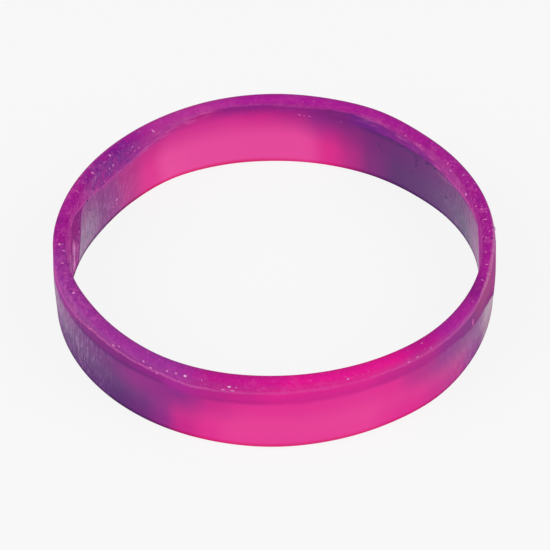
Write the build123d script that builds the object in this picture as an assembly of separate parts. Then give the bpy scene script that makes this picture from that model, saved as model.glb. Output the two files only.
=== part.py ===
from build123d import *
import math
import os

# A moulded silicone wristband, a whole closed loop that lies on its side.
# Millimetres, +Z up along the loop's axis. The origin is at the middle of the loop,
# on the surface that the band lies on.

loop_length = 180.0  # once round the straight middle of the inner wall, the size it is made to
band_width = 12.0  # from the bottom rim to the top rim as it lies

# The wall is thickest in its straight middle and thins in one long curve to the land of each rim.
rim_land = 0.7  # width of the flat land on the top and the bottom rim
inner_swell = 0.9  # how far the inner wall stands in from the land
outer_swell = 0.7  # how far the outer wall stands out from the land
inner_straight = 2.4  # height of the inner wall's straight middle
outer_straight = 3.6  # height of the outer wall's straight middle

half_width = band_width / 2
bore_radius = loop_length / (2 * math.pi)
land_inner_radius = bore_radius + inner_swell
land_outer_radius = land_inner_radius + rim_land
outer_radius = land_outer_radius + outer_swell


def upper_half_outline():
    # The section above the middle plane, from the inner wall over the rim to the outer wall.
    # The first coordinate is the distance from the loop's axis, the second the height above
    # the middle plane. Each curve is a quarter of an ellipse.
    inner_curve_start = inner_straight / 2
    outer_curve_end = outer_straight / 2
    Line((bore_radius, 0), (bore_radius, inner_curve_start))
    EllipticalCenterArc(
        (land_inner_radius, inner_curve_start),
        inner_swell,
        half_width - inner_curve_start,
        180,
        arc_size=-90,
    )
    Line((land_inner_radius, half_width), (land_outer_radius, half_width))
    EllipticalCenterArc(
        (land_outer_radius, outer_curve_end),
        outer_swell,
        half_width - outer_curve_end,
        90,
        arc_size=-90,
    )
    Line((outer_radius, outer_curve_end), (outer_radius, 0))


def make_band():
    middle_plane_section = Plane(origin=(0, 0, half_width), x_dir=(1, 0, 0), z_dir=(0, -1, 0))
    with BuildPart() as band:
        with BuildSketch(middle_plane_section):
            with BuildLine():
                upper_half_outline()
                mirror(about=Plane.XZ)
            make_face()
        revolve(axis=Axis.Z, revolution_arc=360)
    return band.part


os.makedirs("parts", exist_ok=True)
export_step(make_band(), "parts/band.step")
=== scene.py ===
import math

import bpy
from mathutils import Matrix, Vector


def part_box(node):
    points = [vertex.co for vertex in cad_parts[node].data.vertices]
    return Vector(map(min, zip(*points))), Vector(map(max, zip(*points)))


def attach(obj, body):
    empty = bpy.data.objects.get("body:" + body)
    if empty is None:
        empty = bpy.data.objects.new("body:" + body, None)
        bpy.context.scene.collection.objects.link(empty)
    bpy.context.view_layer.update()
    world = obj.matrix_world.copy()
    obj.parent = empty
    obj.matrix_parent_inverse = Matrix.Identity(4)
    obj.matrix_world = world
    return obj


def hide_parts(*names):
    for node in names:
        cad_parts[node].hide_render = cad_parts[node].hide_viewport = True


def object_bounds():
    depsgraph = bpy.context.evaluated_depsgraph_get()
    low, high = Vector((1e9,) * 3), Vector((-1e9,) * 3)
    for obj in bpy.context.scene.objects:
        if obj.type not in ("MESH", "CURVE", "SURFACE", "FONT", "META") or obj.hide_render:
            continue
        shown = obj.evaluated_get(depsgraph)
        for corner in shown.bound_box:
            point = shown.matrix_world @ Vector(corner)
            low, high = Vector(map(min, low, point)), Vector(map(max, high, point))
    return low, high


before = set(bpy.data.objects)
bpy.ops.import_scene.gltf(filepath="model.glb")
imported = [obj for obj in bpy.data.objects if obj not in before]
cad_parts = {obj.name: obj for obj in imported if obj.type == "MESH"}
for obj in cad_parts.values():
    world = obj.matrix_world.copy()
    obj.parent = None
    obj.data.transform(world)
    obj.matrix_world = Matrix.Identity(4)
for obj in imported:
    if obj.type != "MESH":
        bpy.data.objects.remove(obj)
cadLow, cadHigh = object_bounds()
bpy.ops.object.select_all(action="DESELECT")
bpy.context.scene.view_settings.view_transform = "Standard"

# the camera stands where the photographer stood

view = {
    "elevation": 41.8,  # degrees above the surface
    "distance": 0.434,  # metres from the middle of the band
    "lens": 202.1,
    "aimDown": 0.230,  # degrees, so that the band sits a little above the middle
    "roll": -0.79,
    "sensor": 36.0,
    "clip": (0.01, 20.0),
}


def addCamera(spec):
    middle = Vector((0, 0, (cadLow.z + cadHigh.z) / 2))
    tilt = math.radians(spec["elevation"])
    back = Vector((0, -math.cos(tilt), math.sin(tilt)))
    data = bpy.data.cameras.new("photoCamera")
    data.lens = spec["lens"]
    data.sensor_width = spec["sensor"]
    data.clip_start, data.clip_end = spec["clip"]
    camera = bpy.data.objects.new("photoCamera", data)
    bpy.context.collection.objects.link(camera)
    camera.location = middle + back * spec["distance"]
    pitch = math.radians(90 - spec["elevation"] - spec["aimDown"])
    turn = Matrix.Rotation(pitch, 3, "X") @ Matrix.Rotation(math.radians(spec["roll"]), 3, "Z")
    camera.rotation_euler = turn.to_euler()
    bpy.context.scene.camera = camera


addCamera(view)
print("camera placed")

# the band: its section is drawn in the XZ plane, then spun once round

band = {
    "wall": 0.0023,  # thickness at mid height
    "rimRound": 0.00084,  # radius of the four rounded edges
    "innerCrown": 0.00024,  # how far each wall stands out at mid height from its edges
    "outerCrown": 0.00018,
    "crownReach": 1.15,  # of the height up to the rounded edge
    "sectionPoints": 48,
    "wallCuts": 21,
    "stepsRound": 720,
    "outerSeam": 0.01025,  # height of the mould's parting line on the outer wall
    "outerSeamRise": 0.00008,
    "innerSeam": 0.0093,
    "innerSeamRise": 0.00005,
    "seamHalfWidth": 0.00016,
    "near": 1e-5,  # how near a point is to the place it is picked by
    "weld": 1e-6,  # points closer than this are one
}


def pickPoints(piece, test):
    # selects the points whose place passes the test, in edit mode
    bpy.ops.mesh.select_all(action="DESELECT")
    bpy.ops.object.mode_set(mode="OBJECT")
    for point in piece.data.vertices:
        point.select = test(point.co)
    bpy.ops.object.mode_set(mode="EDIT")


def makeSection(spec):
    low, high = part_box("band")
    outerRadius = (high.x - low.x) / 2
    middle = (high.z + low.z) / 2
    rimHeight = (high.z - low.z) / 2 - spec["rimRound"]
    outerPlace = outerRadius - spec["outerCrown"] - spec["rimRound"]
    innerPlace = outerRadius - spec["wall"] + spec["innerCrown"] + spec["rimRound"]
    count = spec["sectionPoints"]
    bpy.ops.mesh.primitive_circle_add(
        vertices=count, radius=1.0, fill_type="NOTHING", rotation=(math.pi / 2, 0, 0)
    )
    piece = bpy.context.active_object
    piece.name = piece.data.name = "siliconeBand"
    bpy.ops.object.transform_apply(location=True, rotation=True, scale=True)
    bpy.ops.object.mode_set(mode="EDIT")
    bpy.ops.mesh.select_mode(type="VERT")
    bpy.ops.mesh.select_all(action="SELECT")
    bpy.ops.transform.rotate(  # half a step, so that each quarter has its own points
        value=math.pi / count, orient_axis="Y", center_override=(0, 0, 0)
    )
    for sideX in (1, -1):
        for sideZ in (1, -1):
            # the points still on the circle of one metre are the ones that haven't been placed
            pickPoints(piece, lambda p: p.length > 0.5 and p.x * sideX > 0 and p.z * sideZ > 0)
            bpy.ops.transform.resize(
                value=(spec["rimRound"], 1, spec["rimRound"]), center_override=(0, 0, 0)
            )
            bpy.ops.transform.translate(
                value=(outerPlace if sideX > 0 else innerPlace, 0, middle + sideZ * rimHeight)
            )
    # the two long edges are the walls; they are cut, and swell towards mid height
    for sideX, crown in ((1, spec["outerCrown"]), (-1, spec["innerCrown"])):
        wallX = outerPlace + spec["rimRound"] if sideX > 0 else innerPlace - spec["rimRound"]
        pickPoints(piece, lambda p: abs(p.x - wallX) < spec["near"])
        bpy.ops.mesh.subdivide(number_cuts=spec["wallCuts"])
        pickPoints(piece, lambda p: abs(p.x - wallX) < spec["near"] and abs(p.z - middle) < spec["near"])
        bpy.ops.transform.translate(
            value=(crown * sideX, 0, 0),
            use_proportional_edit=True,
            use_proportional_connected=True,
            proportional_edit_falloff="SMOOTH",
            proportional_size=rimHeight * spec["crownReach"],
        )
    return piece, (outerPlace + innerPlace) / 2


def raiseSeam(piece, spec, name, side, wallMiddle):
    # three cuts close together, and the middle one is pulled out of the wall
    height, halfWidth = spec[name], spec["seamHalfWidth"]
    for cut in (height - halfWidth, height, height + halfWidth):
        bpy.ops.mesh.select_all(action="SELECT")
        bpy.ops.mesh.bisect(plane_co=(0, 0, cut), plane_no=(0, 0, 1))
    pickPoints(piece, lambda p: abs(p.z - height) < spec["weld"] and (p.x - wallMiddle) * side > 0)
    bpy.ops.transform.translate(value=(spec[name + "Rise"] * side, 0, 0))


siliconeBand, wallMiddle = makeSection(band)
raiseSeam(siliconeBand, band, "outerSeam", 1, wallMiddle)
raiseSeam(siliconeBand, band, "innerSeam", -1, wallMiddle)
bpy.ops.mesh.select_all(action="SELECT")
bpy.ops.mesh.spin(steps=band["stepsRound"], angle=2 * math.pi, center=(0, 0, 0), axis=(0, 0, 1))
bpy.ops.mesh.select_all(action="SELECT")
bpy.ops.mesh.remove_doubles(threshold=band["weld"])
bpy.ops.mesh.normals_make_consistent(inside=False)
bpy.ops.object.mode_set(mode="OBJECT")

# the loop is soft: it isn't quite round, and its wall leans a little in or out

sway = {  # millimetres outwards at the bottom and the top rim, every 15 degrees from the left end
    "bottom": [0.1, 0.2, 0.25, 0.24, 0.23, 0.2, 0.2, 0.08, 0.06, 0.22, 0.02, -0.06,
               0.1, 0.57, 0.57, 0.24, 0.16, 0.02, 0.0, 0.2, 0.33, -0.15, -0.44, -0.18],
    "top": [0.1, 0.07, -0.28, -0.22, -0.03, -0.12, -0.25, -0.2, 0.04, 0.34, 0.37, 0.28,
            -0.03, -0.18, -0.32, -0.34, 0.11, 0.09, 0.2, 0.14, -0.09, -0.25, -0.22, -0.1],
}


def swayAt(values, degrees):
    # a smooth curve through the values, closed on itself
    place, part = divmod(degrees * len(values) / 360, 1)
    a, b, c, d = (values[(int(place) + step) % len(values)] for step in (-1, 0, 1, 2))
    return b + part / 2 * (c - a + part * (2 * a - 5 * b + 4 * c - d + part * (3 * (b - c) + d - a)))


def bendLoop(piece, spec):
    for point in piece.data.vertices:
        x, y, z = point.co
        degrees = math.degrees(math.atan2(y, x)) + 180
        low, high = swayAt(spec["bottom"], degrees), swayAt(spec["top"], degrees)
        out = (low + (high - low) * z / cadHigh.z) / 1000
        stretch = 1 + out / math.hypot(x, y)
        point.co *= Vector((stretch, stretch, 1))
    piece.data.update()


bendLoop(siliconeBand, sway)
bpy.ops.object.shade_smooth()
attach(siliconeBand, "root")
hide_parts("band")
print("band spun,", len(siliconeBand.data.vertices), "points,", len(siliconeBand.data.polygons), "faces")

# the silicone

silicone = {
    "roughness": 0.36,
    "lowRoughness": 0.6,  # of the outer wall near the table
    "rimRoughness": 0.6,
    "edgeRoughness": 0.95,  # of the deep edges, and of the rim at the two ends
    "refraction": 1.34,
    "sideStep": 0.0002,  # half the step from the inner to the outer side of the rim
    "edge": 0.00018,  # half the softness of a crisp border between two zones
    "softEdge": 0.00042,
    "lineHalfWidth": 0.00016,
    "wideHalfWidth": 0.00021,
    "lineFade": (2.2, 0.3),  # half widths from the light line's middle, where it ends and where it is full
    "waver": 0.00045,  # how far the borders wander up and down
    "drift": 0.018,  # how far the colours wander along the band, in turns
    "uprightGrain": 0.3,  # the wall's grain is drawn out upright, and the rim's along the band
    "longGrain": 0.045,
    # pale streaks on the inner wall: place round, low and high end, and strength
    "paleStreaks": [(352.3, 0.0012, 0.0076, 0.95), (358.4, 0.0030, 0.0080, 0.4)],
    "streakFoot": 0.0012,
    "streakTop": 0.0016,
    "bloomPlace": 326,  # where the violet clouds lie on the rim
    "bandEdgeTop": (0.0009, 0.0024),  # top of the painted shade along the band's lower edge, on the left and on the right
    "bandEdgeFoot": 0.0001,
    "wallBlendTop": 0.0098,  # where the inner wall's upper colours are full
    "raggedWaver": 2.5,  # how much more the dark ragged line wanders than the border does
    "deepGamma": 1.9,  # deepens the colour of the edges for their painted shade
    "rimEdgeTop": (0.01185, 0.01197),  # where the rim edge's painted shade ends, at the two ends, and at the back
    "rimEdgeFade": 0.0002,
    "dustScale": 1300.0,
    "grainBump": 0.25,
    "grainDepth": 0.00002,
}

# the patterns' noises: scale, detail and roughness
noises = {
    "cloud": (160.0, 4.0, 0.55),
    "ripple": (900.0, 2.0, 0.5),
    "mottle": (650.0, 3.0, 0.6),
    "grain": (2600.0, 3.0, 0.75),
    "wallGrain": (2300.0, 4.0, 0.75),
    "alongGrain": (1500.0, 3.0, 0.6),
}

# where each effect starts and where it is full
spans = {
    # metres to the right, and to the back
    "rightSide": (-0.005, 0.005),
    "crispBand": (0.020, 0.026),
    "rightFrontAcross": (0.006, 0.014),
    "rightFrontBack": (0.0, -0.008),
    "wideLine": (0.014, 0.022),
    "paleLine": (0.0270, 0.0285),
    "backRim": (0.004, 0.012),
    # metres up from the table, or up from a border
    "outerHigh": (0.0035, 0.0080),
    "veilUp": (0.0004, 0.0018),
    "ragged": (0.00060, 0.00005),
    "shoulderShade": (0.0115, 0.0103),
    "highStrip": (0.0052, 0.0088),
    "highWall": (0.0048, 0.0078),
    "nearLine": (0.0015, 0.0002),
    "lowEdgeShade": (0.0014, 0.0005),
    "lowWall": (0.0060, 0.0015),
    # from 0 at the front and the back to 1 at the left and right ends
    "veilEnds": (0.88, 0.97),
    "rimEnds": (0.60, 0.97),
    "edgeOn": (0.90, 0.98),
    "wallEnds": (0.64, 0.95),
    "innerRightEnd": (0.74, 1.0),
    # turns from the middle of a streak or of the violet clouds, and metres from the axis
    "streakAside": (0.0062, 0.0018),
    "bloomAway": (0.052, 0.015),
    "bloomInwards": (0.0302, 0.0292),
    # values of the noises, and of the dust's cells
    "raggedGaps": (0.30, 0.55),
    "streakGaps": (0.32, 0.50),
    "bloomPatches": (0.36, 0.56),
    "lightMottle": (0.50, 0.68),
    "darkMottle": (0.48, 0.32),
    "lightGrain": (0.50, 0.70),
    "darkGrain": (0.50, 0.30),
    "sheenStreaks": (0.46, 0.70),
    "shadeStreaks": (0.52, 0.30),
    "highlightAlong": (0.48, 0.66),
    "darkAlong": (0.48, 0.34),
    "lineGaps": (0.36, 0.60),
    "dustSize": (0.26, 0.06),
    "dustShare": (0.66, 0.72),
    "speckPatches": (0.35, 0.65),
}

# how strong each effect is; of two values, the second is for the right side, the two ends or the named place
strengths = {
    "veil": 0.22,
    "bandEdgeShade": 0.8,
    "shoulderShade": 0.55,
    "bloom": 0.9,
    "rightFront": (1.0, 0.35),
    "rimClouds": (0.10, 0.30),
    "fine": (0.12, 0.34),
    "bareStrip": (1.0, 0.15),
    "rightStreaks": (0.68, 0.44),
    "highLeft": (0.55, 0.0),
    "shadeStreaks": 0.85,
    "highlightAlong": 0.6,
    "darkAlong": 0.5,
    "lineGaps": (0.45, 1.0),
    "wallDust": 0.2,
    "rimDust": (0.2, 0.5),
    "rimEdgeShade": 0.4,
    "innerLowShade": (0.85, 0.45),
    "outerLowShade": 0.6,
}

palette = {  # as a paint chart gives them, 0 to 255
    "ink": (64, 4, 94),
    "indigo": (86, 6, 106),
    "dusk": (108, 8, 116),
    "plum": (128, 8, 122),
    "purple": (146, 8, 132),
    "rimPlum": (170, 20, 146),
    "rosyPlum": (178, 22, 142),
    "berry": (186, 8, 134),
    "magenta": (206, 8, 138),
    "hotRim": (222, 4, 138),
    "hotMagenta": (226, 14, 143),
    "dustyRose": (216, 28, 146),
    "rose": (230, 30, 146),
    "hotPink": (237, 52, 152),
    "warmPink": (238, 66, 160),
    "orchid": (184, 44, 150),
    "mauve": (158, 44, 151),
    "maroon": (148, 14, 110),
    "violet": (114, 12, 136),
    "grape": (136, 14, 142),
    "plumRose": (146, 14, 124),
    "lilac": (216, 96, 176),
    "paleLilac": (186, 104, 172),
    "ash": (138, 96, 140),
    "haze": (180, 128, 182),
    "pearl": (160, 118, 146),
    "pinkPearl": (206, 124, 172),
    "dust": (218, 132, 196),
    "chalk": (238, 196, 230),
}

# the colours round the band, by degrees from its left end: 90 is the front, 180 the right, 270 the back

# the walls' pinks, and the pale greys pearl on the outer wall at the right end and ash on the inner wall at
# the left end, are partly painted reflection of the pale table
zones = {
    "outerLow": [
        (0, "dusk"), (14, "dusk"), (22, "indigo"), (46, "indigo"), (54, "dusk"), (60, "purple"),
        (66, "magenta"), (72, "rose"), (80, "hotPink"), (112, "hotPink"), (120, "rose"),
        (126, "hotMagenta"), (134, "magenta"), (142, "berry"), (149, "purple"), (154, "plum"),
        (161, "pearl"), (175, "pearl"), (210, "indigo"), (240, "magenta"), (285, "hotPink"),
        (325, "magenta"), (345, "plum"), (360, "dusk"),
    ],
    "outerHigh": [
        (0, "plum"), (20, "plum"), (30, "dusk"), (42, "dusk"), (54, "purple"), (66, "purple"),
        (74, "magenta"), (84, "rose"), (112, "rose"), (120, "hotMagenta"), (128, "berry"),
        (137, "purple"), (146, "plum"), (152, "plum"), (160, "pearl"), (175, "pearl"), (210, "dusk"),
        (245, "magenta"), (285, "rose"), (320, "magenta"), (340, "plum"), (360, "plum"),
    ],
    "outerBand": [
        (0, "mauve"), (10, "orchid"), (17, "mauve"), (24, "purple"), (31, "plum"), (48, "plum"),
        (57, "purple"), (64, "rimPlum"), (74, "berry"), (82, "magenta"), (90, "hotMagenta"),
        (112, "hotMagenta"), (120, "magenta"), (129, "berry"), (139, "purple"), (147, "plum"),
        (154, "maroon"), (168, "maroon"), (178, "mauve"), (220, "purple"), (290, "magenta"),
        (340, "purple"), (360, "mauve"),
    ],
    "rim": [
        (0, "rimPlum"), (10, "mauve"), (62, "mauve"), (76, "berry"), (88, "magenta"), (96, "hotRim"),
        (119, "hotRim"), (130, "berry"), (139, "rimPlum"), (147, "rimPlum"), (155, "purple"),
        (165, "rimPlum"), (276, "rimPlum"), (290, "orchid"), (304, "orchid"), (318, "rimPlum"),
        (330, "rimPlum"), (338, "rosyPlum"), (347, "rimPlum"), (360, "rimPlum"),
    ],
    "innerStrip": [
        (0, "purple"), (60, "magenta"), (130, "magenta"), (178, "rimPlum"), (185, "orchid"),
        (191, "orchid"), (200, "mauve"), (206, "mauve"), (212, "grape"), (231, "grape"),
        (242, "violet"), (252, "plum"), (262, "purple"), (280, "purple"), (292, "berry"),
        (306, "orchid"), (326, "orchid"), (338, "mauve"), (344, "plum"), (348, "plumRose"),
        (356, "plumRose"), (360, "purple"),
    ],
    "innerHigh": [
        (0, "plum"), (40, "purple"), (75, "magenta"), (130, "magenta"), (160, "purple"), (192, "plum"),
        (206, "dusk"), (235, "dusk"), (247, "plum"), (257, "purple"), (264, "berry"), (274, "magenta"),
        (284, "dustyRose"), (300, "dustyRose"), (308, "magenta"), (317, "berry"), (328, "purple"),
        (345, "purple"), (360, "plum"),
    ],
    "innerLow": [
        (0, "plum"), (40, "plum"), (75, "warmPink"), (130, "warmPink"), (160, "plum"), (188, "plum"),
        (200, "ink"), (210, "indigo"), (231, "indigo"), (240, "plum"), (247, "berry"),
        (253, "hotMagenta"), (261, "warmPink"), (302, "warmPink"), (309, "hotMagenta"), (317, "berry"),
        (325, "purple"), (331, "plum"), (338, "ash"), (352, "ash"), (360, "plum"),
    ],
}

# how strongly each of these shows, by the same degrees: the light line along each border of the rim, partly a
# painted highlight, the painted shade along the lower edge of the outer band, the clouds on the inner strip,
# the streaks along the rim's inner border, with painted highlight in them, and the dark ragged line on the
# inner wall

shows = {
    "outerLine": [
        (0, 0.5), (16, 0.5), (24, 0.4), (34, 0.5), (60, 0.6), (72, 0.5), (84, 0.3), (110, 0.2),
        (128, 0.35), (145, 0.4), (152, 0.45), (158, 0.7), (178, 0.9), (190, 0.3), (340, 0.2),
        (360, 0.5),
    ],
    "innerLine": [
        (0, 0.3), (10, 0.1), (184, 0.2), (194, 0.7), (200, 0.6), (208, 0.3), (216, 0.05), (250, 0.05),
        (262, 0.15), (300, 0.15), (316, 0.25), (330, 0.25), (345, 0.4), (360, 0.4),
    ],
    "bandEdgeShade": [
        (0, 0.1), (22, 0.1), (28, 0.9), (50, 0.9), (64, 0.2), (140, 0.3), (151, 0.9), (168, 0.9),
        (180, 0.2), (360, 0.1),
    ],
    "stripClouds": [
        (0, 0.5), (2, 0.0), (198, 0.0), (208, 0.7), (236, 0.7), (246, 0.0), (340, 0.0), (346, 0.9),
        (360, 0.5),
    ],
    "rimStreaks": [
        (0, 0.2), (10, 0.0), (196, 0.0), (208, 0.7), (240, 0.7), (250, 0.1), (284, 0.1), (290, 0.8),
        (306, 0.8), (314, 0.3), (340, 0.4), (360, 0.2),
    ],
    "raggedLine": [
        (0, 0.0), (186, 0.0), (194, 0.2), (213, 0.5), (217, 0.7), (238, 0.7), (246, 0.0), (360, 0.0),
    ],
}

# heights of the borders in millimetres, along the wall and on over the rim, by the same degrees; half the
# softness of the two inner ones; and where the inner wall's lower colours start to turn into its upper ones

borders = {
    "outerLine": [
        (0, 9.8), (27, 9.4), (37, 10.2), (60, 10.3), (67, 9.8), (82, 10.1), (149, 10.6), (155, 11.5),
        (162, 11.85), (171, 11.95), (178, 11.75), (190, 11.4), (230, 10.4), (360, 9.8),
    ],
    "outerBand": [
        (0, 8.2), (32, 8.1), (58, 8.7), (68, 8.0), (130, 8.5), (140, 8.6), (148, 7.8), (158, 7.6),
        (163, 6.9), (167, 5.6), (170, 4.0), (173, 3.1), (179, 2.9), (185, 3.3), (190, 4.5), (195, 6.4),
        (200, 7.8), (206, 8.4), (220, 8.6), (250, 8.2), (280, 8.6), (320, 8.1), (360, 8.2),
    ],
    "innerLine": [
        (0, 7.2), (10, 10.5), (170, 10.5), (179, 5.0), (181, 7.2), (183, 8.2), (187, 9.6), (196, 9.3),
        (208, 9.05), (215, 9.4), (222, 10.4), (246, 11.2), (262, 10.8), (287, 11.4), (300, 10.4),
        (306, 9.7), (311.5, 8.9), (320, 8.2), (330, 8.3), (336, 9.0), (344, 9.6), (349, 10.4),
        (352, 10.0), (354, 9.3), (355.5, 8.6), (360, 7.2),
    ],
    "innerStrip": [
        (0, 2.0), (10, 9.0), (170, 9.0), (179, 4.7), (181, 6.9), (183, 7.9), (187, 9.3), (197, 8.8),
        (208, 8.55), (215, 8.85), (240, 8.9), (252, 9.4), (262, 9.8), (298, 9.9), (306, 9.2),
        (311, 8.6), (320, 7.9), (330, 8.0), (338, 9.0), (341.5, 9.1), (343.2, 8.4), (345, 7.0),
        (345.8, 4.4), (346.5, 0.5), (360, 0.5),
    ],
    "lineSoftness": [
        (0, 0.18), (196, 0.18), (206, 0.45), (240, 0.45), (252, 0.18), (300, 0.18), (316, 0.4),
        (338, 0.45), (354, 0.45), (360, 0.25),
    ],
    "wallBlend": [
        (0, 3.5), (236, 3.3), (246, 3.0), (256, 3.6), (264, 5.0), (304, 5.0), (316, 3.5), (360, 3.5),
    ],
    "stripSoftness": [
        (0, 0.15), (236, 0.15), (250, 1.1), (298, 1.2), (308, 0.5), (320, 0.15), (360, 0.15),
    ],
}
borderScale = 13.0  # a ramp holds 0 to 1, which stands for 0 to this many millimetres


def paint(name):
    shades = [c / 255 for c in palette[name]]
    return tuple(((c + 0.055) / 1.055) ** 2.4 if c > 0.04045 else c / 12.92 for c in shades) + (1.0,)


def addNode(tree, kind, inputs=None, **settings):
    node = tree.nodes.new(kind)
    for name, value in settings.items():
        setattr(node, name, value)
    for key, value in (inputs or {}).items():
        if isinstance(value, bpy.types.NodeSocket):
            tree.links.new(value, node.inputs[key])
        else:
            node.inputs[key].default_value = value
    return node


def calc(tree, operation, *values, clamp=False):
    node = addNode(tree, "ShaderNodeMath", dict(enumerate(values)), operation=operation, use_clamp=clamp)
    return node.outputs[0]


def times(tree, first, *others):
    for other in others:
        first = calc(tree, "MULTIPLY", first, other)
    return first


def stepsRound(tree, turn, stops, colourOf, kind):
    # one colour ramp for the whole way round
    line = addNode(tree, "ShaderNodeValToRGB", {0: turn})
    line.color_ramp.interpolation = kind
    elements = line.color_ramp.elements
    elements.remove(elements[-1])
    for n, (degrees, value) in enumerate(stops):
        element = elements[0] if n == 0 else elements.new(degrees / 360)
        element.position = degrees / 360
        element.color = colourOf(value)
    return line.outputs[0]


def between(tree, value, start, end):
    # 0 at start, 1 at end, with a soft step from one to the other
    limits = {0: value, 1: start, 2: end, 3: 0.0, 4: 1.0}
    return addNode(tree, "ShaderNodeMapRange", limits, interpolation_type="SMOOTHSTEP").outputs[0]


def mixed(tree, factor, low, high):
    node = addNode(tree, "ShaderNodeMix", {0: factor, 2: low, 3: high}, data_type="FLOAT")
    return node.outputs[0]


def mixedColour(tree, factor, low, high):
    node = addNode(tree, "ShaderNodeMix", {0: factor, 6: low, 7: high}, data_type="RGBA")
    return node.outputs[2]


def noise(tree, place, name):
    scale, detail, roughness = noises[name]
    inputs = {"Vector": place, "Scale": scale, "Detail": detail, "Roughness": roughness}
    return addNode(tree, "ShaderNodeTexNoise", inputs).outputs[0]


def span(tree, value, name):
    return between(tree, value, *spans[name])


def eitherStrength(tree, switch, name):
    return mixed(tree, switch, *strengths[name])


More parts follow.
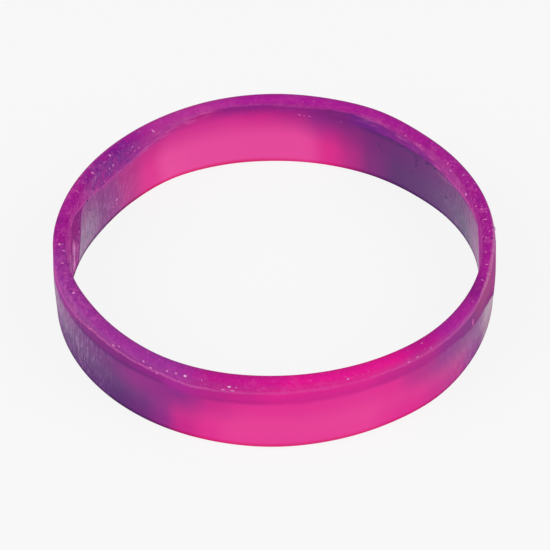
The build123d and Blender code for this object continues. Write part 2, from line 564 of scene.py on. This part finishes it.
def makeSilicone(spec):
    material = bpy.data.materials.new("moodSilicone")
    material.use_nodes = True
    tree = material.node_tree
    tree.nodes.clear()
    place = addNode(tree, "ShaderNodeTexCoord").outputs["Object"]
    x, y, z = addNode(tree, "ShaderNodeSeparateXYZ", {0: place}).outputs[:3]
    radius = calc(tree, "SQRT", calc(tree, "ADD", calc(tree, "MULTIPLY", x, x), calc(tree, "MULTIPLY", y, y)))
    exactTurn = calc(tree, "MULTIPLY_ADD", calc(tree, "ARCTAN2", y, x), 1 / (2 * math.pi), 0.5)
    outside = between(tree, radius, wallMiddle - spec["sideStep"], wallMiddle + spec["sideStep"])
    inside = mixed(tree, outside, 1.0, 0.0)
    rightSide = span(tree, x, "rightSide")
    sideways = calc(tree, "ABSOLUTE", calc(tree, "DIVIDE", x, radius))  # 1 at the left and right ends
    facing = calc(tree, "ABSOLUTE", calc(tree, "DIVIDE", y, radius))  # 1 at the front and the back

    # height along the surface: up the wall, then on over the rounded edge
    rounding = band["rimRound"]
    roundStart = cadHigh.z - rounding
    overRound = calc(tree, "DIVIDE", calc(tree, "SUBTRACT", z, roundStart), rounding, clamp=True)
    climb = calc(tree, "MINIMUM", z, roundStart)
    climb = calc(tree, "MULTIPLY_ADD", calc(tree, "ARCSINE", overRound), rounding, climb)

    cloud = noise(tree, place, "cloud")
    turn = calc(tree, "MULTIPLY_ADD", calc(tree, "SUBTRACT", cloud, 0.5), spec["drift"], exactTurn)
    ripple = noise(tree, place, "ripple")
    waver = calc(tree, "MULTIPLY", calc(tree, "SUBTRACT", ripple, 0.5), spec["waver"])
    mottle = noise(tree, place, "mottle")
    grain = noise(tree, place, "grain")
    drawnOut = {"Vector": place, "Scale": (1.0, 1.0, spec["uprightGrain"])}
    wallGrain = noise(tree, addNode(tree, "ShaderNodeMapping", drawnOut).outputs[0], "wallGrain")
    lengthways = {0: times(tree, exactTurn, spec["longGrain"]), 1: climb, 2: radius}
    alongGrain = noise(tree, addNode(tree, "ShaderNodeCombineXYZ", lengthways).outputs[0], "alongGrain")

    def zone(name):
        return stepsRound(tree, turn, zones[name], paint, "EASE")

    def grey(value):
        return (value, value, value, 1)

    def show(name):
        return stepsRound(tree, exactTurn, shows[name], grey, "LINEAR")

    def border(name):
        line = stepsRound(tree, exactTurn, borders[name], lambda mm: grey(mm / borderScale), "LINEAR")
        return calc(tree, "MULTIPLY", line, borderScale / 1000)

    def over(name):
        return calc(tree, "SUBTRACT", calc(tree, "SUBTRACT", climb, border(name)), waver)

    def above(height, softness):
        return between(tree, height, calc(tree, "MULTIPLY", softness, -1.0), softness)

    def tinted(under, name, *shares):
        return mixedColour(tree, times(tree, *shares), under, paint(name))

    overOuterLine, overOuterBand = over("outerLine"), over("outerBand")
    overInnerLine, overInnerStrip = over("innerLine"), over("innerStrip")
    aboveOuterLine = above(overOuterLine, spec["edge"])
    # the band's own border is crisp at the right end and softer elsewhere
    bandSoftness = mixed(tree, span(tree, x, "crispBand"), spec["softEdge"], spec["edge"])
    aboveOuterBand = above(overOuterBand, bandSoftness)
    aboveInnerLine = above(overInnerLine, border("lineSoftness"))
    aboveInnerStrip = above(overInnerStrip, border("stripSoftness"))
    onRim = mixed(tree, outside, aboveInnerLine, aboveOuterLine)

    # the outer wall, with a band of its own colour under the rim: painted sheen makes the band paler upwards
    # at the two ends, and painted shade makes it deepest along its lower edge
    outer = mixedColour(tree, span(tree, z, "outerHigh"), zone("outerLow"), zone("outerHigh"))
    bandColour = zone("outerBand")
    sheenRise, sheenAtEnds = span(tree, overOuterBand, "veilUp"), span(tree, sideways, "veilEnds")
    bandColour = tinted(bandColour, "paleLilac", sheenRise, sheenAtEnds, strengths["veil"])
    bandShadeColour = mixedColour(tree, rightSide, paint("indigo"), paint("plum"))
    bandShadeHeight = mixed(tree, rightSide, *spec["bandEdgeTop"])
    bandEdgeShading = between(tree, overOuterBand, bandShadeHeight, spec["bandEdgeFoot"])
    bandEdgeShading = times(tree, bandEdgeShading, show("bandEdgeShade"), strengths["bandEdgeShade"])
    outer = mixedColour(tree, aboveOuterBand, outer, mixedColour(tree, bandEdgeShading, bandColour, bandShadeColour))

    # the inner wall, with a strip under the rim, a dark ragged line along the strip, and pale streaks at the
    # left end
    upWall = between(tree, z, border("wallBlend"), spec["wallBlendTop"])
    inner = mixedColour(tree, upWall, zone("innerLow"), zone("innerHigh"))
    inner = mixedColour(tree, aboveInnerStrip, inner, zone("innerStrip"))
    ragged = calc(tree, "ABSOLUTE", calc(tree, "MULTIPLY_ADD", waver, spec["raggedWaver"], overInnerStrip))
    raggedGaps = span(tree, mottle, "raggedGaps")
    inner = tinted(inner, "ink", span(tree, ragged, "ragged"), show("raggedLine"), raggedGaps)
    for degrees, low, high, strength in spec["paleStreaks"]:
        aside = calc(tree, "ABSOLUTE", calc(tree, "SUBTRACT", exactTurn, degrees / 360))
        foot = between(tree, z, low, low + spec["streakFoot"])
        top = between(tree, z, high, high - spec["streakTop"])
        gaps = span(tree, wallGrain, "streakGaps")
        inner = tinted(inner, "dust", span(tree, aside, "streakAside"), foot, top, gaps, strength)

    # painted shade on the rim's outer shoulder, which takes about half of the colour of the band under it;
    # violet clouds lie at its left back
    shoulderShade = times(tree, outside, span(tree, climb, "shoulderShade"), strengths["shoulderShade"])
    rim = mixedColour(tree, shoulderShade, zone("rim"), zone("outerBand"))
    away = calc(tree, "ABSOLUTE", calc(tree, "SUBTRACT", turn, spec["bloomPlace"] / 360))
    bloom = times(tree, span(tree, away, "bloomAway"), span(tree, radius, "bloomInwards"))
    rim = tinted(rim, "violet", bloom, span(tree, mottle, "bloomPatches"), strengths["bloom"])
    colour = mixedColour(tree, outside, inner, outer)
    colour = mixedColour(tree, onRim, colour, rim)

    # clouds on the rim and on parts of the inner strip, strongest at the two ends
    rimEnds = span(tree, sideways, "rimEnds")
    matte = mixed(tree, outside, aboveInnerStrip, aboveOuterBand)
    cloudyStrip = times(tree, aboveInnerStrip, show("stripClouds"))
    cloudy = calc(tree, "MAXIMUM", onRim, mixed(tree, outside, cloudyStrip, 0.0))
    rightFront = times(tree, span(tree, x, "rightFrontAcross"), span(tree, y, "rightFrontBack"))
    cloudy = times(tree, cloudy, eitherStrength(tree, rightFront, "rightFront"))
    rimClouds = times(tree, cloudy, eitherStrength(tree, rimEnds, "rimClouds"))
    colour = tinted(colour, "lilac", span(tree, mottle, "lightMottle"), rimClouds)
    colour = tinted(colour, "dusk", span(tree, mottle, "darkMottle"), rimClouds)

    # upright streaks on the walls, strongest at the left end, weak on the outer band and high on the inner
    # strip; the pale ones are painted reflection of the pale table, the dark ones painted shade
    innerRight = times(tree, rightSide, inside)
    wallStart, wallFull = (
        mixed(tree, innerRight, *pair) for pair in zip(spans["wallEnds"], spans["innerRightEnd"])
    )
    wallEnds = between(tree, sideways, wallStart, wallFull)
    bareStrip = times(tree, mixed(tree, outside, span(tree, z, "highStrip"), 1.0), matte)
    streaks = times(tree, wallEnds, eitherStrength(tree, bareStrip, "bareStrip"))
    streaks = times(tree, streaks, eitherStrength(tree, rightSide, "rightStreaks"))
    highLeft = times(tree, span(tree, z, "highWall"), inside, eitherStrength(tree, rightSide, "highLeft"))
    lowDown = mixed(tree, highLeft, 1.0, 0.0)
    colour = tinted(colour, "haze", span(tree, wallGrain, "sheenStreaks"), streaks, lowDown)
    colour = tinted(colour, "indigo", span(tree, wallGrain, "shadeStreaks"), streaks, strengths["shadeStreaks"])

    # fine grain where the clouds are
    fine = times(tree, cloudy, eitherStrength(tree, rimEnds, "fine"))
    colour = tinted(colour, "lilac", span(tree, grain, "lightGrain"), fine)
    colour = tinted(colour, "dusk", span(tree, grain, "darkGrain"), fine)

    # streaks that run along the rim's inner border, their pale parts a painted highlight, and the light line
    # along both borders, partly the mould's pale parting line and partly a painted highlight
    fromLine = calc(tree, "ABSOLUTE", mixed(tree, outside, overInnerLine, overOuterLine))
    nearLine = times(tree, span(tree, fromLine, "nearLine"), mixed(tree, outside, show("rimStreaks"), 0.0))
    colour = tinted(colour, "lilac", nearLine, span(tree, alongGrain, "highlightAlong"), strengths["highlightAlong"])
    colour = tinted(colour, "plum", nearLine, span(tree, alongGrain, "darkAlong"), strengths["darkAlong"])
    wide = times(tree, outside, span(tree, x, "wideLine"))
    halfWidth = mixed(tree, wide, spec["lineHalfWidth"], spec["wideHalfWidth"])
    lineEnd, lineFull = (calc(tree, "MULTIPLY", halfWidth, part) for part in spec["lineFade"])
    onHighlightLine = between(tree, fromLine, lineEnd, lineFull)
    onHighlightLine = times(tree, onHighlightLine, mixed(tree, outside, show("innerLine"), show("outerLine")))
    onHighlightLine = times(tree, onHighlightLine, eitherStrength(tree, span(tree, grain, "lineGaps"), "lineGaps"))
    highlightLineColour = mixedColour(tree, span(tree, x, "paleLine"), paint("lilac"), paint("pinkPearl"))
    colour = mixedColour(tree, onHighlightLine, colour, highlightLineColour)

    # pale specks in the surface
    cells = addNode(tree, "ShaderNodeTexVoronoi", {"Vector": place, "Scale": spec["dustScale"]}).outputs
    chosen = addNode(tree, "ShaderNodeSeparateColor", {0: cells["Color"]}).outputs[0]
    dust = times(tree, span(tree, cells["Distance"], "dustSize"), span(tree, chosen, "dustShare"))
    wallDust = times(tree, wallEnds, strengths["wallDust"])
    rimDust = eitherStrength(tree, rimEnds, "rimDust")
    colour = tinted(colour, "dust", dust, mixed(tree, onRim, wallDust, rimDust))

    # painted shade: the lowest edge is deeper in colour, and so is the rim's outer edge at the back
    edgeTop = mixed(tree, facing, *spec["rimEdgeTop"])
    rimEdgeShade = between(tree, z, edgeTop, calc(tree, "ADD", edgeTop, -spec["rimEdgeFade"]))
    rimEdgeShade = times(tree, rimEdgeShade, onRim, outside, span(tree, y, "backRim"))
    lowEdgeShade = span(tree, z, "lowEdgeShade")
    deep = addNode(tree, "ShaderNodeGamma", {0: colour, 1: spec["deepGamma"]}).outputs[0]
    innerShare = eitherStrength(tree, rightSide, "innerLowShade")
    lowShare = mixed(tree, outside, innerShare, strengths["outerLowShade"])
    paintedShade = calc(tree, "MAXIMUM", times(tree, rimEdgeShade, strengths["rimEdgeShade"]), times(tree, lowEdgeShade, lowShare))
    colour = mixedColour(tree, paintedShade, colour, deep)

    # satin walls, a duller rim, and edges without gloss
    lowWall = times(tree, span(tree, z, "lowWall"), outside)
    wallRoughness = mixed(tree, lowWall, spec["roughness"], spec["lowRoughness"])
    rimRoughness = mixed(tree, span(tree, sideways, "edgeOn"), spec["rimRoughness"], spec["edgeRoughness"])
    roughness = mixed(tree, matte, wallRoughness, rimRoughness)
    roughness = mixed(tree, calc(tree, "MAXIMUM", rimEdgeShade, lowEdgeShade), roughness, spec["edgeRoughness"])
    relief = addNode(
        tree,
        "ShaderNodeBump",
        {"Strength": spec["grainBump"], "Distance": spec["grainDepth"], "Height": grain},
    )
    shader = addNode(
        tree,
        "ShaderNodeBsdfPrincipled",
        {
            "Base Color": colour,
            "Roughness": roughness,
            "IOR": spec["refraction"],
            "Normal": relief.outputs[0],
        },
    )
    addNode(tree, "ShaderNodeOutputMaterial", {0: shader.outputs[0]})
    return material


siliconeBand.data.materials.clear()
siliconeBand.data.materials.append(makeSilicone(silicone))
print("silicone mixed")

# pale specks and small marks on the band, each half sunk in the silicone

specks = {
    "subdivisions": 2,
    "lumpRadius": 0.001,
    "flatness": {  # thickness to width
        "paleSpecks": 0.35,
        "brightSpecks": 0.4,
        "mouldFlash": 0.9,
        "darkMarks": 0.2,
    },
    # which way the lump is pulled out of shape, and how far
    "pulls": [
        ((0.8, 0.6, 0), (0.0003, 0.0001, 0)),
        ((-0.3, -0.95, 0), (0, -0.00025, 0)),
    ],
    "pullFrom": 0.00085,
    # degrees round the band, distance from its axis and height in millimetres, half width in millimetres,
    # how many times longer than wide, and 0 to lie along the band or 90 across it
    "paleSpecks": [
        (307.2, 28.95, 11.4, 0.14, 2.6, 120), (324, 29.09, 11.7, 0.16, 1.3, 60),
        (323.8, 28.84, 10.1, 0.17, 1, 0), (325.5, 28.84, 10.1, 0.16, 1, 0),
        (332.8, 29.06, 11.7, 0.17, 1.4, 70), (312.8, 28.83, 9.9, 0.12, 1.5, 90),
        (314.5, 28.82, 9.8, 0.12, 1.4, 40), (315.2, 28.87, 10.8, 0.1, 1.4, 0),
        (323.5, 28.74, 3.6, 0.2, 1.1, 0), (323.6, 28.78, 2.8, 0.13, 1.2, 90),
        (325, 28.79, 2.7, 0.12, 1.2, 90), (328.5, 28.76, 8.8, 0.1, 1, 0), (327, 28.97, 11.5, 0.1, 1, 0),
        (334.8, 28.78, 9.2, 0.1, 1.4, 90), (4.3, 29.93, 12, 0.17, 1.4, 20),
        (6.8, 29.4, 11.9, 0.12, 2, 80), (12, 29.9, 12, 0.1, 2, 80), (24, 30.14, 12, 0.16, 1.3, 40),
        (35, 30.8, 10.2, 0.15, 1.3, 0), (44.5, 30.78, 10.7, 0.14, 1.8, 0),
        (46.5, 30.77, 11.2, 0.12, 1.4, 0), (54.8, 30.77, 11.1, 0.13, 1.3, 0),
        (57, 30.78, 10.6, 0.14, 1.6, 0), (58.8, 30.8, 10.1, 0.11, 1.6, 0),
        (61.8, 30.77, 11.2, 0.14, 1.2, 0), (64.3, 30.75, 11.3, 0.12, 1.6, 0),
        (71.2, 30.75, 11.3, 0.1, 1, 0), (80, 30.77, 10.9, 0.11, 1.2, 0), (76.6, 30.8, 10.3, 0.09, 3, 0),
        (79, 30.8, 10.3, 0.09, 3, 0), (108, 30.76, 11.2, 0.14, 1.1, 0),
        (124.8, 30.78, 10.6, 0.13, 1.2, 0), (127.5, 30.78, 10.7, 0.13, 1.3, 0),
        (131.8, 30.77, 11, 0.12, 1.2, 0), (130, 30.3, 11.8, 0.09, 1.4, 0),
        (210, 28.95, 11.5, 0.15, 1.1, 0), (208, 28.88, 11.1, 0.16, 1.4, 10),
        (190.2, 28.95, 11.5, 0.15, 1.1, 0), (187.8, 29.4, 11.9, 0.13, 1, 0),
        (186.5, 29.9, 12, 0.08, 1, 0), (183.4, 29.5, 11.95, 0.11, 2.8, 82),
        (165.2, 30.14, 12, 0.09, 2.4, 90), (159, 30.35, 11.9, 0.09, 2.2, 90),
        (149.5, 30.86, 8.7, 0.14, 4, 84), (170, 29.6, 12, 0.09, 1, 0), (176, 29.4, 12, 0.1, 1.2, 30),
        (178.5, 29.9, 12, 0.09, 1, 0), (194, 29.3, 11.9, 0.09, 1, 0), (203, 29.3, 11.9, 0.09, 1.4, 0),
        (259.2, 28.79, 9.3, 0.06, 2.2, 0), (260.8, 28.79, 9.3, 0.06, 2, 0),
        (262.2, 28.8, 9.4, 0.07, 2.4, 0), (249.8, 28.79, 9.2, 0.05, 1.2, 0),
        (228, 28.9, 11.2, 0.1, 2.2, 20), (222, 28.9, 11.2, 0.1, 2, 20),
        (346.4, 28.66, 6.4, 0.07, 4, 90), (352.4, 28.66, 4.1, 0.16, 1.5, 90),
        (352.6, 28.72, 3, 0.15, 1.8, 90), (351.8, 28.66, 5.6, 0.12, 3, 90),
        (353.4, 28.78, 2.2, 0.12, 2, 90), (359, 28.7, 7.2, 0.1, 3, 90),
    ],
    "brightSpecks": [
        (66.8, 30.75, 11.3, 0.18, 1.2, 0), (78.2, 30.77, 10.9, 0.16, 1.3, 0),
        (198.5, 28.85, 10.3, 0.2, 1.3, 30),
    ],
    "mouldFlash": [(180.6, 30.72, 11.45, 0.2, 2.0, 0)],
    "darkMarks": [
        (224, 28.73, 8.3, 0.17, 1.3, 90), (223.3, 28.71, 7.9, 0.18, 1.2, 40),
        (224, 28.7, 7.5, 0.16, 1.3, 90), (223.3, 28.68, 7.1, 0.18, 1.2, 30),
        (223.9, 28.66, 6.5, 0.15, 1.8, 90), (219.2, 28.76, 8.6, 0.25, 1.5, 20),
        (215.8, 28.76, 8.7, 0.2, 1.8, 15), (237.6, 28.66, 7.1, 0.11, 1.5, 90),
        (236.9, 28.66, 6.6, 0.11, 1.6, 60), (236.2, 28.66, 6.1, 0.1, 1.3, 90),
        (225.5, 28.67, 4.9, 0.15, 1, 0), (210.5, 28.67, 5, 0.18, 1.5, 20),
        (338.5, 28.77, 8.9, 0.17, 1.2, 60), (229.5, 28.76, 8.8, 0.12, 3, 10),
        (338, 28.7, 7, 0.09, 2, 90), (180.2, 30.45, 11.8, 0.11, 1.2, 0),
        (176, 30.3, 11.9, 0.14, 1.2, 40), (23, 30.3, 11.9, 0.1, 1.6, 60),
        (17.8, 30.86, 8.9, 0.09, 5, 88), (334, 28.66, 5.2, 0.08, 2, 90),
        (341, 28.7, 3.2, 0.09, 2.5, 90), (220, 28.66, 6.2, 0.08, 1.2, 0),
        (205.5, 28.7, 7.4, 0.09, 1.4, 90), (213, 28.66, 7.1, 0.08, 1.2, 0),
    ],
}
speckPaints = {
    "paleSpecks": ("dust", "lilac"),
    "brightSpecks": ("chalk", "dust"),
    "mouldFlash": ("chalk", "haze"),
    "darkMarks": ("ink", "indigo"),
}


def makeSpeckMaterial(name, first, second):
    material = bpy.data.materials.new(name)
    material.use_nodes = True
    tree = material.node_tree
    tree.nodes.clear()
    place = addNode(tree, "ShaderNodeTexCoord").outputs["Object"]
    patches = span(tree, noise(tree, place, "ripple"), "speckPatches")
    colour = mixedColour(tree, patches, paint(first), paint(second))
    finish = {"Base Color": colour, "Roughness": silicone["rimRoughness"]}
    shader = addNode(tree, "ShaderNodeBsdfPrincipled", finish)
    addNode(tree, "ShaderNodeOutputMaterial", {0: shader.outputs[0]})
    return material


def scatterSpecks(name, spots):
    # one small lump is copied to each spot, half sunk, and all of them become one piece
    bpy.ops.object.select_all(action="DESELECT")
    bpy.ops.mesh.primitive_ico_sphere_add(subdivisions=specks["subdivisions"], radius=specks["lumpRadius"])
    lump = bpy.context.active_object
    lump.name = lump.data.name = name
    bpy.ops.object.mode_set(mode="EDIT")
    bpy.ops.mesh.select_all(action="SELECT")
    bpy.ops.transform.resize(value=(1, 1, specks["flatness"][name]), center_override=(0, 0, 0))
    for far, pull in specks["pulls"]:
        pickPoints(lump, lambda p: p.dot(Vector(far)) > specks["pullFrom"])
        bpy.ops.transform.translate(
            value=pull,
            use_proportional_edit=True,
            proportional_edit_falloff="SMOOTH",
            proportional_size=specks["lumpRadius"],
        )
    bpy.ops.object.mode_set(mode="OBJECT")
    bpy.ops.object.shade_smooth()
    shape = lump.data.copy()
    for n, (degrees, radius, height, halfWidth, length, lean) in enumerate(spots):
        angle = math.radians(degrees - 180)
        aim = Vector((radius * math.cos(angle), radius * math.sin(angle), height)) / 1000
        spot, normal = siliconeBand.closest_point_on_mesh(aim)[1:3]
        along = Vector((-math.sin(angle), math.cos(angle), 0)).normalized()
        along = (along - normal * along.dot(normal)).normalized()
        along = Matrix.Rotation(math.radians(lean), 3, normal) @ along
        across = normal.cross(along)
        axes = Matrix((along * halfWidth * length, across * halfWidth, normal * halfWidth))
        if n == 0:
            copy = lump
        else:
            copy = bpy.data.objects.new(name, shape.copy())
            bpy.context.collection.objects.link(copy)
        copy.data.transform(Matrix.Translation(spot) @ axes.transposed().to_4x4())
        copy.select_set(True)
    bpy.context.view_layer.objects.active = lump
    if len(spots) > 1:
        bpy.ops.object.join()
    bpy.data.meshes.remove(shape)
    lump.data.materials.clear()
    lump.data.materials.append(makeSpeckMaterial(name, *speckPaints[name]))
    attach(lump, "root")
    print(name, len(spots))


for group in speckPaints:
    scatterSpecks(group, specks[group])

# the studio: a pale table and two soft lights

studio = {
    "tableSize": 4.0,
    "tableShade": 0.07,
    "tableGlow": 0.875,
    "roomShade": 0.3,
    "lightPower": 4.2,
    "lightSize": 0.6,
    "lights": {"leftLight": (-0.62, -0.30, 0.55), "rightLight": (0.62, -0.30, 0.55)},
}


def setStudio(spec):
    bpy.ops.mesh.primitive_plane_add(size=spec["tableSize"], location=(0, 0, 0))
    table = bpy.context.active_object
    table.name = table.data.name = "paleTable"
    material = bpy.data.materials.new("paleTable")
    material.use_nodes = True
    shader = material.node_tree.nodes["Principled BSDF"]
    shade = spec["tableShade"]
    shader.inputs["Base Color"].default_value = (shade, shade, shade, 1)
    shader.inputs["Roughness"].default_value = 1.0
    shader.inputs["Specular IOR Level"].default_value = 0.0
    shader.inputs["Emission Color"].default_value = (1, 1, 1, 1)
    shader.inputs["Emission Strength"].default_value = spec["tableGlow"]
    table.data.materials.append(material)
    for name, spot in spec["lights"].items():
        data = bpy.data.lights.new(name, "AREA")
        data.energy = spec["lightPower"]
        data.size = spec["lightSize"]
        light = bpy.data.objects.new(name, data)
        bpy.context.collection.objects.link(light)
        light.location = spot
        light.visible_glossy = False  # the softboxes give no glints on the rounded edges
        light.rotation_euler = (-Vector(spot)).to_track_quat("-Z", "Y").to_euler()
    world = bpy.data.worlds.new("room")
    world.use_nodes = True
    room = spec["roomShade"]
    world.node_tree.nodes["Background"].inputs[0].default_value = (room, room, room, 1)
    bpy.context.scene.world = world


setStudio(studio)
print("studio set")
